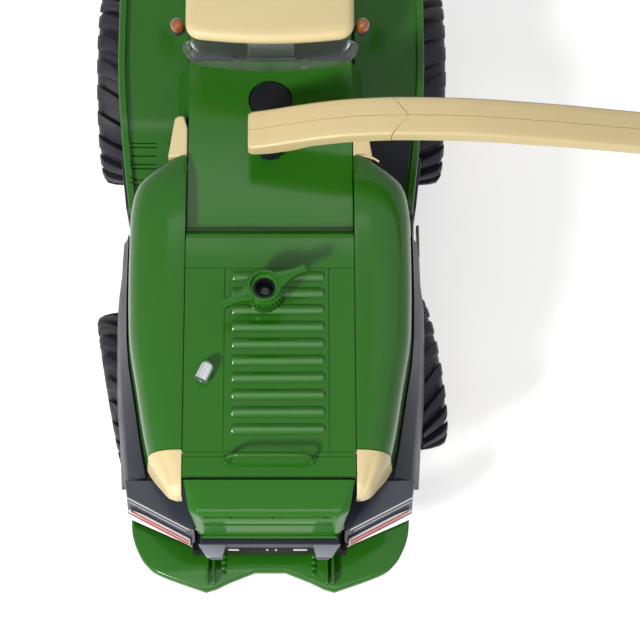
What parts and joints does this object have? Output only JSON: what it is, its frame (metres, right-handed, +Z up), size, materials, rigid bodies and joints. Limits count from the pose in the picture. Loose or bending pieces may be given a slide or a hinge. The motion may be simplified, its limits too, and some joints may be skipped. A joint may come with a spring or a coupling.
{
  "type": "forage harvester scale model",
  "caption": "Scale model of a self-propelled forage harvester with a swivelling discharge spout, steered rear wheels, a glazed cab and an open intake at the front.",
  "frame": {"origin": "middle of the footprint's box, on the floor under the model", "axes": "+Y forwards, +X to the machine's right, +Z up; the spout stands swung out to +X"},
  "size_m": [0.1838, 0.218, 0.12],
  "materials": {
    "green": "glossy enamel",
    "cream": "satin",
    "anthracite": "satin",
    "black": "matt",
    "tyre": "matt",
    "glass": "clear moulded",
    "grey": "matt",
    "silver": "silver lacquer",
    "amber": "clear moulded",
    "red": "printed"
  },
  "bodies": {
    "machine": {"beacon_left": "amber", "beacon_right": "amber", "cab_glazing": "glass", "cab_roof": "cream", "cab_tub": "anthracite", "centre_deck": "green", "chassis_frame": "anthracite", "counterweight": "green", "crop_duct": "black", "deck_cover_right": "anthracite", "driver_seat": "grey", "engine_block": "black", "exhaust_stub": "silver", "front_axle": "anthracite", "front_deck_left": "green", "front_deck_right": "green", "hood_block_left": "cream", "hood_block_right": "cream", "hood_cap_left": "cream", "hood_cap_right": "cream", "hood_centre": "green", "hood_rail": "green", "hood_side_left": "green", "hood_side_right": "green", "intake_housing": "green", "mirror_left": "black", "mirror_right": "black", "rear_axle": "anthracite", "rear_corner_left": "anthracite", "rear_corner_right": "anthracite", "rear_crossbar": "anthracite", "rear_fender_left": "anthracite", "rear_fender_right": "anthracite", "rear_valance": "black", "side_skirt_left": "anthracite", "side_skirt_right": "anthracite", "side_step_right": "green", "steering_console": "black", "tail_light_left": "red", "tail_light_right": "red", "tail_panel": "green", "well_disc": "black"},
    "front_wheel_right": {"front_rim_right": "cream", "front_tyre_right": "tyre"},
    "front_wheel_left": {"front_rim_left": "cream", "front_tyre_left": "tyre"},
    "knuckle_right": {"steering_knuckle_right": "anthracite"},
    "knuckle_left": {"steering_knuckle_left": "anthracite"},
    "rear_wheel_right": {"rear_rim_right": "cream", "rear_tyre_right": "tyre"},
    "rear_wheel_left": {"rear_rim_left": "cream", "rear_tyre_left": "tyre"},
    "knob": {"steering_knob": "green"},
    "spout_base": {"spout_turret": "black"},
    "spout_arm": {"spout": "cream", "spout_extension": "cream"},
    "flap": {"spout_flap": "cream"},
    "roller_lower": {"feed_roller_lower": "silver"},
    "roller_upper": {"feed_roller_upper": "silver"}
  },
  "joints": [
    {"name": "front_wheel_right_spin", "type": "hinge", "parent": "machine", "child": "front_wheel_right", "pos_m": [0.0071, 0.0645, 0.032], "axis": [1, 0, 0], "continuous": true},
    {"name": "front_wheel_left_spin", "type": "hinge", "parent": "machine", "child": "front_wheel_left", "pos_m": [-0.0799, 0.0645, 0.032], "axis": [1, 0, 0], "continuous": true},
    {"name": "knob_turn", "type": "hinge", "parent": "machine", "child": "knob", "pos_m": [-0.0378, -0.0336, 0.1], "axis": [0, 0, 1], "range_deg": [-75, 25]},
    {"name": "steer_right", "type": "hinge", "parent": "machine", "child": "knuckle_right", "pos_m": [-0.0084, -0.035, 0.025], "axis": [0, 0, 1], "range_deg": [-30, 10]},
    {"name": "steer_left", "type": "hinge", "parent": "machine", "child": "knuckle_left", "pos_m": [-0.0644, -0.035, 0.025], "axis": [0, 0, 1], "range_deg": [-30, 10]},
    {"name": "rear_wheel_right_spin", "type": "hinge", "parent": "knuckle_right", "child": "rear_wheel_right", "pos_m": [0.00686, -0.03231, 0.025], "axis": [0.9848, 0.1736, 0], "continuous": true},
    {"name": "rear_wheel_left_spin", "type": "hinge", "parent": "knuckle_left", "child": "rear_wheel_left", "pos_m": [-0.07966, -0.03769, 0.025], "axis": [0.9848, 0.1736, 0], "continuous": true},
    {"name": "spout_swivel", "type": "hinge", "parent": "machine", "child": "spout_base", "pos_m": [-0.0364, 0.0158, 0.091], "axis": [0, 0, 1], "range_deg": [-195, 15]},
    {"name": "spout_tilt", "type": "hinge", "parent": "spout_base", "child": "spout_arm", "pos_m": [-0.0364, 0.0158, 0.0972], "axis": [0, -1, 0], "range_deg": [0, 30]},
    {"name": "roller_lower_spin", "type": "hinge", "parent": "machine", "child": "roller_lower", "pos_m": [-0.0364, 0.098, 0.0234], "axis": [1, 0, 0], "continuous": true},
    {"name": "roller_upper_spin", "type": "hinge", "parent": "machine", "child": "roller_upper", "pos_m": [-0.0364, 0.098, 0.0366], "axis": [1, 0, 0], "continuous": true},
    {"name": "flap_tilt", "type": "hinge", "parent": "spout_arm", "child": "flap", "pos_m": [0.08175, 0.0158, 0.1028], "axis": [0, -1, 0], "range_deg": [-45, 15]}
  ],
  "couplings": [
    {"joint": "steer_left", "follows": "steer_right", "ratio": 1},
    {"joint": "knob_turn", "follows": "steer_right", "ratio": 2.5}
  ]
}
